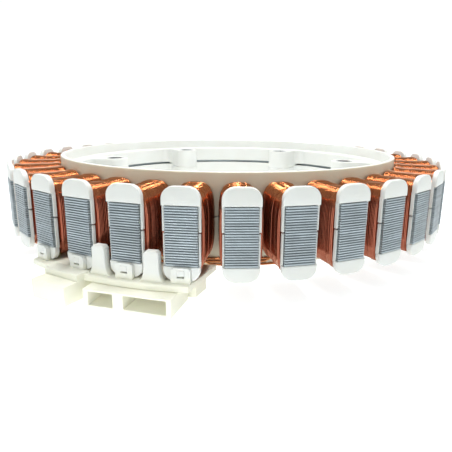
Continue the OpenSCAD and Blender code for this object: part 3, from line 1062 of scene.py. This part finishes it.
class STATOR_OT_sensor_base(bpy.types.Operator):
    """Models the sensor base with its posts, clip tabs, ledge and pad"""

    bl_idname = "stator.sensor_base"
    bl_label = "Sensor base"

    def execute(self, context):
        edge = context.scene.stator_sizes.edge
        plan = sector(BASE_IN, BASE_OUT, BASE_HALF)
        plate = slab("plate", [plan], BASE_ANGLE, (PLATE_BOTTOM, PLATE_TOP), edge, rounds=2)
        plan = sector(BASE_IN + BODY_INSET, BODY_OUT, BASE_HALF - BODY_INSET)
        body = slab("body", [plan], BASE_ANGLE, (BASE_BOTTOM, PLATE_BOTTOM + edge), BODY_EDGE)
        width = (-LEDGE_HALF, LEDGE_HALF)
        reach = (BODY_OUT - edge, LEDGE_OUT)
        ledge = block("ledge", LEDGE_ANGLE, reach, width, (BASE_BOTTOM, LEDGE_TOP), edge, rounds=2)
        reach = (PAD_IN, PAD_IN + PAD_DEPTH)
        pad = block("pad", LEDGE_ANGLE, reach, width, (LEDGE_TOP - edge, PAD_TOP), edge, rounds=2)
        pieces = [plate, body, ledge, pad]

        on_plate = Matrix.Translation(UP * PLATE_TOP)
        for slot in POST_SLOTS:
            matrix = on_plate @ standing(slot * PITCH, POST_OUT - POST_T / 2)
            pieces.append(prism("post", [post_outline()], POST_T, matrix, POST_EDGE, rounds=2))
        front = rounded(TAB_HALF, -BASE_SINK, TAB_H, 0.0, TAB_R, steps=5)
        window = rectangle(-WINDOW_HALF, WINDOW_HALF, WINDOW_Z, WINDOW_Z + WINDOW_H)
        for k in BASE_TEETH:
            matrix = on_plate @ standing(k * PITCH, TAB_IN + TAB_T / 2)
            pieces.append(prism("tab", [front, window], TAB_T, matrix, TAB_EDGE, rounds=2))
        base = soften(join("sensor_base_moulding", pieces))
        colours = context.scene.stator_colours
        plastic = moulded_plastic("Base plastic", colours.plastic, foot=colours.base_plastic)
        hand_over(base, plastic, ["sensor_base"])
        return {"FINISHED"}


def cut(obj, cutter):
    """Takes one solid out of another."""
    take(obj)
    knife = obj.modifiers.new("Cut", "BOOLEAN")
    knife.operation = "DIFFERENCE"
    knife.solver = "EXACT"
    knife.object = cutter
    bpy.ops.object.modifier_apply(modifier=knife.name)
    bpy.data.objects.remove(cutter)


class STATOR_OT_connector(bpy.types.Operator):
    """Models the connector housing with its two sockets"""

    bl_idname = "stator.connector"
    bl_label = "Connector housing"

    def execute(self, context):
        reach = (CONNECTOR_FACE - CONNECTOR_DEPTH, CONNECTOR_FACE)
        width = (-CONNECTOR_HALF, CONNECTOR_HALF)
        housing = block("housing", CONNECTOR_ANGLE, reach, width, (BASE_BOTTOM, PLATE_BOTTOM))
        reach = (CONNECTOR_FACE - SOCKET_DEPTH, CONNECTOR_FACE + MM)
        heights = (BASE_BOTTOM + SOCKET_WALL, PLATE_BOTTOM - SOCKET_WALL)
        for middle, half in ((SIGNAL_MID, SIGNAL_HALF), (POWER_MID, POWER_HALF)):
            room = block("room", CONNECTOR_ANGLE, reach, (middle - half, middle + half), heights)
            cut(housing, room)
        take(housing)
        rounding = housing.modifiers.new("Edges", "BEVEL")
        rounding.width = CONNECTOR_EDGE
        rounding.segments = 2
        rounding.limit_method = "ANGLE"
        bpy.ops.object.modifier_apply(modifier=rounding.name)
        housing = soften(join("connector_moulding", [housing]))
        hand_over(housing, bpy.data.materials["Base plastic"], ["connector_housing"])
        return {"FINISHED"}


class STATOR_OT_metal(bpy.types.Operator):
    """Finishes the bolt sleeves and the contacts"""

    bl_idname = "stator.metal"
    bl_label = "Sleeves and contacts"

    def execute(self, context):
        plated = plated_metal("Plated metal", context.scene.stator_colours.plated)
        for node in ("bolt_sleeves", "power_contacts", "sensor_contacts"):
            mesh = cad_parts[node].data
            mesh.materials.clear()
            mesh.materials.append(plated)
        return {"FINISHED"}


def hung_light(name, location, size, power, colour):
    """A rectangular light that hangs level and shines down."""
    deselect()
    bpy.ops.object.light_add(type="AREA", location=location)
    light = bpy.context.object
    light.name = name
    light.data.shape = "RECTANGLE"
    light.data.size, light.data.size_y = size
    light.data.energy = power
    light.data.color = colour


def low_spot(name, location, target, angle, power):
    """A spot light with a soft edge, aimed at a point."""
    deselect()
    bpy.ops.object.light_add(type="SPOT", location=location)
    light = bpy.context.object
    light.name = name
    light.data.energy = power
    light.data.spot_size = angle
    light.data.spot_blend = 0.1
    light.data.shadow_soft_size = 0.03
    light.rotation_euler = (Vector(target) - Vector(location)).to_track_quat("-Z", "Y").to_euler()


def studio_room(name):
    """A pale room, lighter behind the stator than in front of it and dimmer overhead."""
    world = bpy.data.worlds.new(name)
    room = Shading(world, "Generated")
    walls = room.blend(room.along("Y", -1.0, ROOM_BACK_FROM), ROOM_FRONT, ROOM_BACK)
    shade = room.blend(room.along("Z", ROOM_DOME_FROM, ROOM_DOME_FULL), walls, ROOM_DOME)
    background = room.nodes["Background"]
    background.inputs["Strength"].default_value = 1.0
    room.links.new(shade, background.inputs["Color"])
    return world


def photograph_camera(name):
    """A camera at the photograph's place and angle."""
    out, _ = towards(CAMERA_ROUND)
    turn = Matrix.Rotation(CAMERA_ROUND, 3, "Z")
    ahead = turn @ Vector((
        math.sin(CAMERA_YAW) * math.cos(CAMERA_PITCH),
        math.cos(CAMERA_YAW) * math.cos(CAMERA_PITCH),
        -math.sin(CAMERA_PITCH),
    ))
    level = ahead.cross(UP).normalized()
    upright = level.cross(ahead)
    right = level * math.cos(CAMERA_ROLL) + upright * math.sin(CAMERA_ROLL)
    up = upright * math.cos(CAMERA_ROLL) - level * math.sin(CAMERA_ROLL)
    deselect()
    bpy.ops.object.camera_add()
    camera = bpy.context.object
    camera.name = name
    camera.matrix_world = frame_of(right, up, -ahead, out * CAMERA_DISTANCE + UP * CAMERA_HEIGHT)
    camera.data.sensor_width = CAMERA_SENSOR
    camera.data.lens = CAMERA_LENS
    camera.data.shift_x, camera.data.shift_y = CAMERA_SHIFT
    camera.data.clip_start, camera.data.clip_end = CAMERA_CLIP
    return camera


class STATOR_OT_stage(bpy.types.Operator):
    """Sets up the floor, the studio light and the camera"""

    bl_idname = "stator.stage"
    bl_label = "Stage"

    def execute(self, context):
        deselect()
        bpy.ops.mesh.primitive_plane_add(size=FLOOR_SIZE, location=(0, 0, 0))
        floor = context.object
        floor.name = "floor"
        floor.data.materials.append(pale_floor("Pale floor"))

        for name, across in TUBES.items():
            hung_light(name, (across, TUBE_Y, TUBE_Z), TUBE_SIZE, TUBE_POWER, TUBE_COLOUR)
        hung_light(
            "front_panel",
            location=(-0.06, -0.24, 0.8),
            size=(0.35, 0.2),
            power=0.8,
            colour=(1.0, 1.0, 0.98),
        )
        hung_light(
            "inside",
            location=(0.0, -0.06, 0.42),
            size=(0.1, 0.1),
            power=0.75,
            colour=(1.0, 1.0, 1.0),
        )
        low_spot(
            "low_front",
            location=(-0.2, -0.61, 0.06),
            target=(-0.124, -0.38, 0.0),
            angle=math.radians(16),
            power=7.0,
        )

        scene = context.scene
        scene.world = studio_room("Studio")
        scene.view_settings.view_transform = "Standard"
        scene.camera = photograph_camera("photograph_view")
        return {"FINISHED"}


class STATOR_PT_panel(bpy.types.Panel):
    """Lists the steps that make the stator"""

    bl_idname = "STATOR_PT_panel"
    bl_label = "Motor stator"
    bl_space_type = "VIEW_3D"
    bl_region_type = "UI"
    bl_category = "Stator"

    def draw(self, context):
        layout = self.layout
        for group in (context.scene.stator_sizes, context.scene.stator_colours):
            for name in group.__annotations__:
                layout.prop(group, name)
        for step in STEPS:
            layout.operator(step.bl_idname)


STEPS = (
    STATOR_OT_stage,
    STATOR_OT_core,
    STATOR_OT_upper_insulator,
    STATOR_OT_lower_insulator,
    STATOR_OT_coils,
    STATOR_OT_crossovers,
    STATOR_OT_sensor_base,
    STATOR_OT_connector,
    STATOR_OT_metal,
)
CLASSES = (StatorSizes, StatorColours, *STEPS, STATOR_PT_panel)


def register():
    """Registers the classes and adds the sizes and colours to the scene."""
    for cls in CLASSES:
        bpy.utils.register_class(cls)
    bpy.types.Scene.stator_sizes = bpy.props.PointerProperty(type=StatorSizes)
    bpy.types.Scene.stator_colours = bpy.props.PointerProperty(type=StatorColours)


def unregister():
    """Takes the sizes, the colours and the classes away again."""
    del bpy.types.Scene.stator_colours
    del bpy.types.Scene.stator_sizes
    for cls in reversed(CLASSES):
        bpy.utils.unregister_class(cls)


def main():
    """Makes every piece in order."""
    register()
    bpy.ops.stator.stage()
    bpy.ops.stator.core()
    bpy.ops.stator.upper_insulator()
    bpy.ops.stator.lower_insulator()
    bpy.ops.stator.coils()
    bpy.ops.stator.crossovers()
    bpy.ops.stator.sensor_base()
    bpy.ops.stator.connector()
    bpy.ops.stator.metal()


if __name__ == "__main__":
    main()
